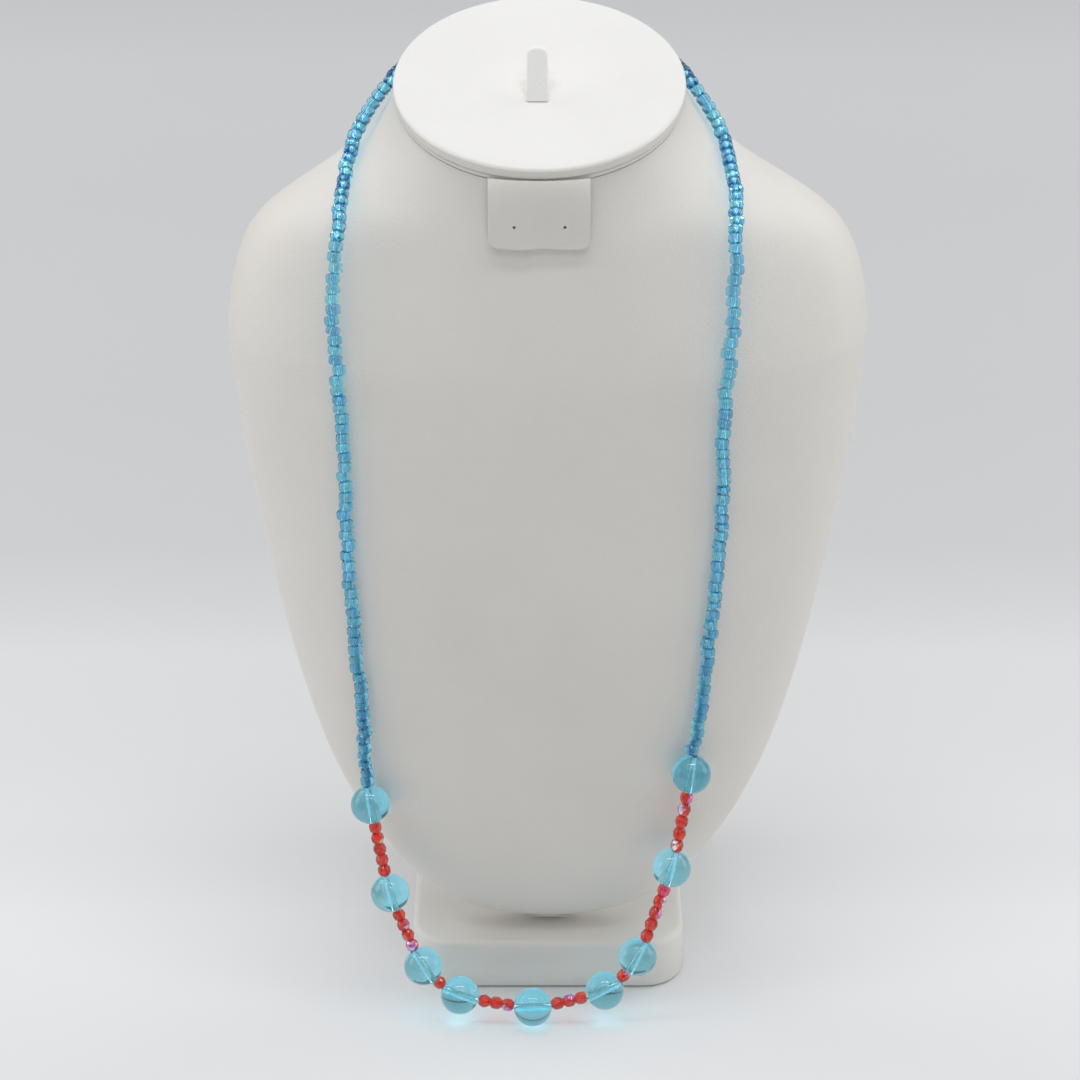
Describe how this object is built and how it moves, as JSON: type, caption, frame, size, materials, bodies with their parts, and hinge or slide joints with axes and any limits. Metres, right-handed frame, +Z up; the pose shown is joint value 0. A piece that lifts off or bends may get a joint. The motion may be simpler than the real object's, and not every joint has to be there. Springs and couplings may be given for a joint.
{
  "type": "beaded necklace on neck bust",
  "caption": "Long slip-on necklace of round and faceted glass beads with small seed beads up both sides, laid over a padded neck bust on a low block.",
  "frame": {"origin": "middle of the whole part's footprint, at the underside of the block", "axes": "+Z up from the block to the neck's cap, -Y to the front, where the beads hang, +X to the right seen from the front"},
  "size_m": [0.1934, 0.1312, 0.2949],
  "materials": {
    "leatherette": "white grained leatherette, semi-matt",
    "aqua_glass": "clear aqua glass, polished",
    "red_glass": "opaque red faceted glass, polished, with an iridescent coat",
    "seed_glass": "clear blue-green glass, polished",
    "thread": "clear nylon"
  },
  "bodies": {
    "root": {"bust_body": "leatherette", "neck_rim": "leatherette", "neck_cap": "leatherette", "ring_tab": "leatherette", "earring_flap": "leatherette", "support_rib": "leatherette", "base_block": "leatherette", "large_bead_left_1": "aqua_glass", "large_bead_left_2": "aqua_glass", "large_bead_left_3": "aqua_glass", "large_bead_left_4": "aqua_glass", "large_bead_centre": "aqua_glass", "large_bead_right_4": "aqua_glass", "large_bead_right_3": "aqua_glass", "large_bead_right_2": "aqua_glass", "large_bead_right_1": "aqua_glass", "red_bead_01": "red_glass", "red_bead_02": "red_glass", "red_bead_03": "red_glass", "red_bead_04": "red_glass", "red_bead_05": "red_glass", "red_bead_06": "red_glass", "red_bead_07": "red_glass", "red_bead_08": "red_glass", "red_bead_09": "red_glass", "red_bead_10": "red_glass", "red_bead_11": "red_glass", "red_bead_12": "red_glass", "red_bead_13": "red_glass", "red_bead_14": "red_glass", "red_bead_15": "red_glass", "red_bead_16": "red_glass", "red_bead_17": "red_glass", "red_bead_18": "red_glass", "red_bead_19": "red_glass", "red_bead_20": "red_glass", "red_bead_21": "red_glass", "red_bead_22": "red_glass", "red_bead_23": "red_glass", "red_bead_24": "red_glass", "red_bead_25": "red_glass", "red_bead_26": "red_glass", "red_bead_27": "red_glass", "seed_bead_string": "seed_glass", "bead_thread": "thread"}
  },
  "joints": []
}
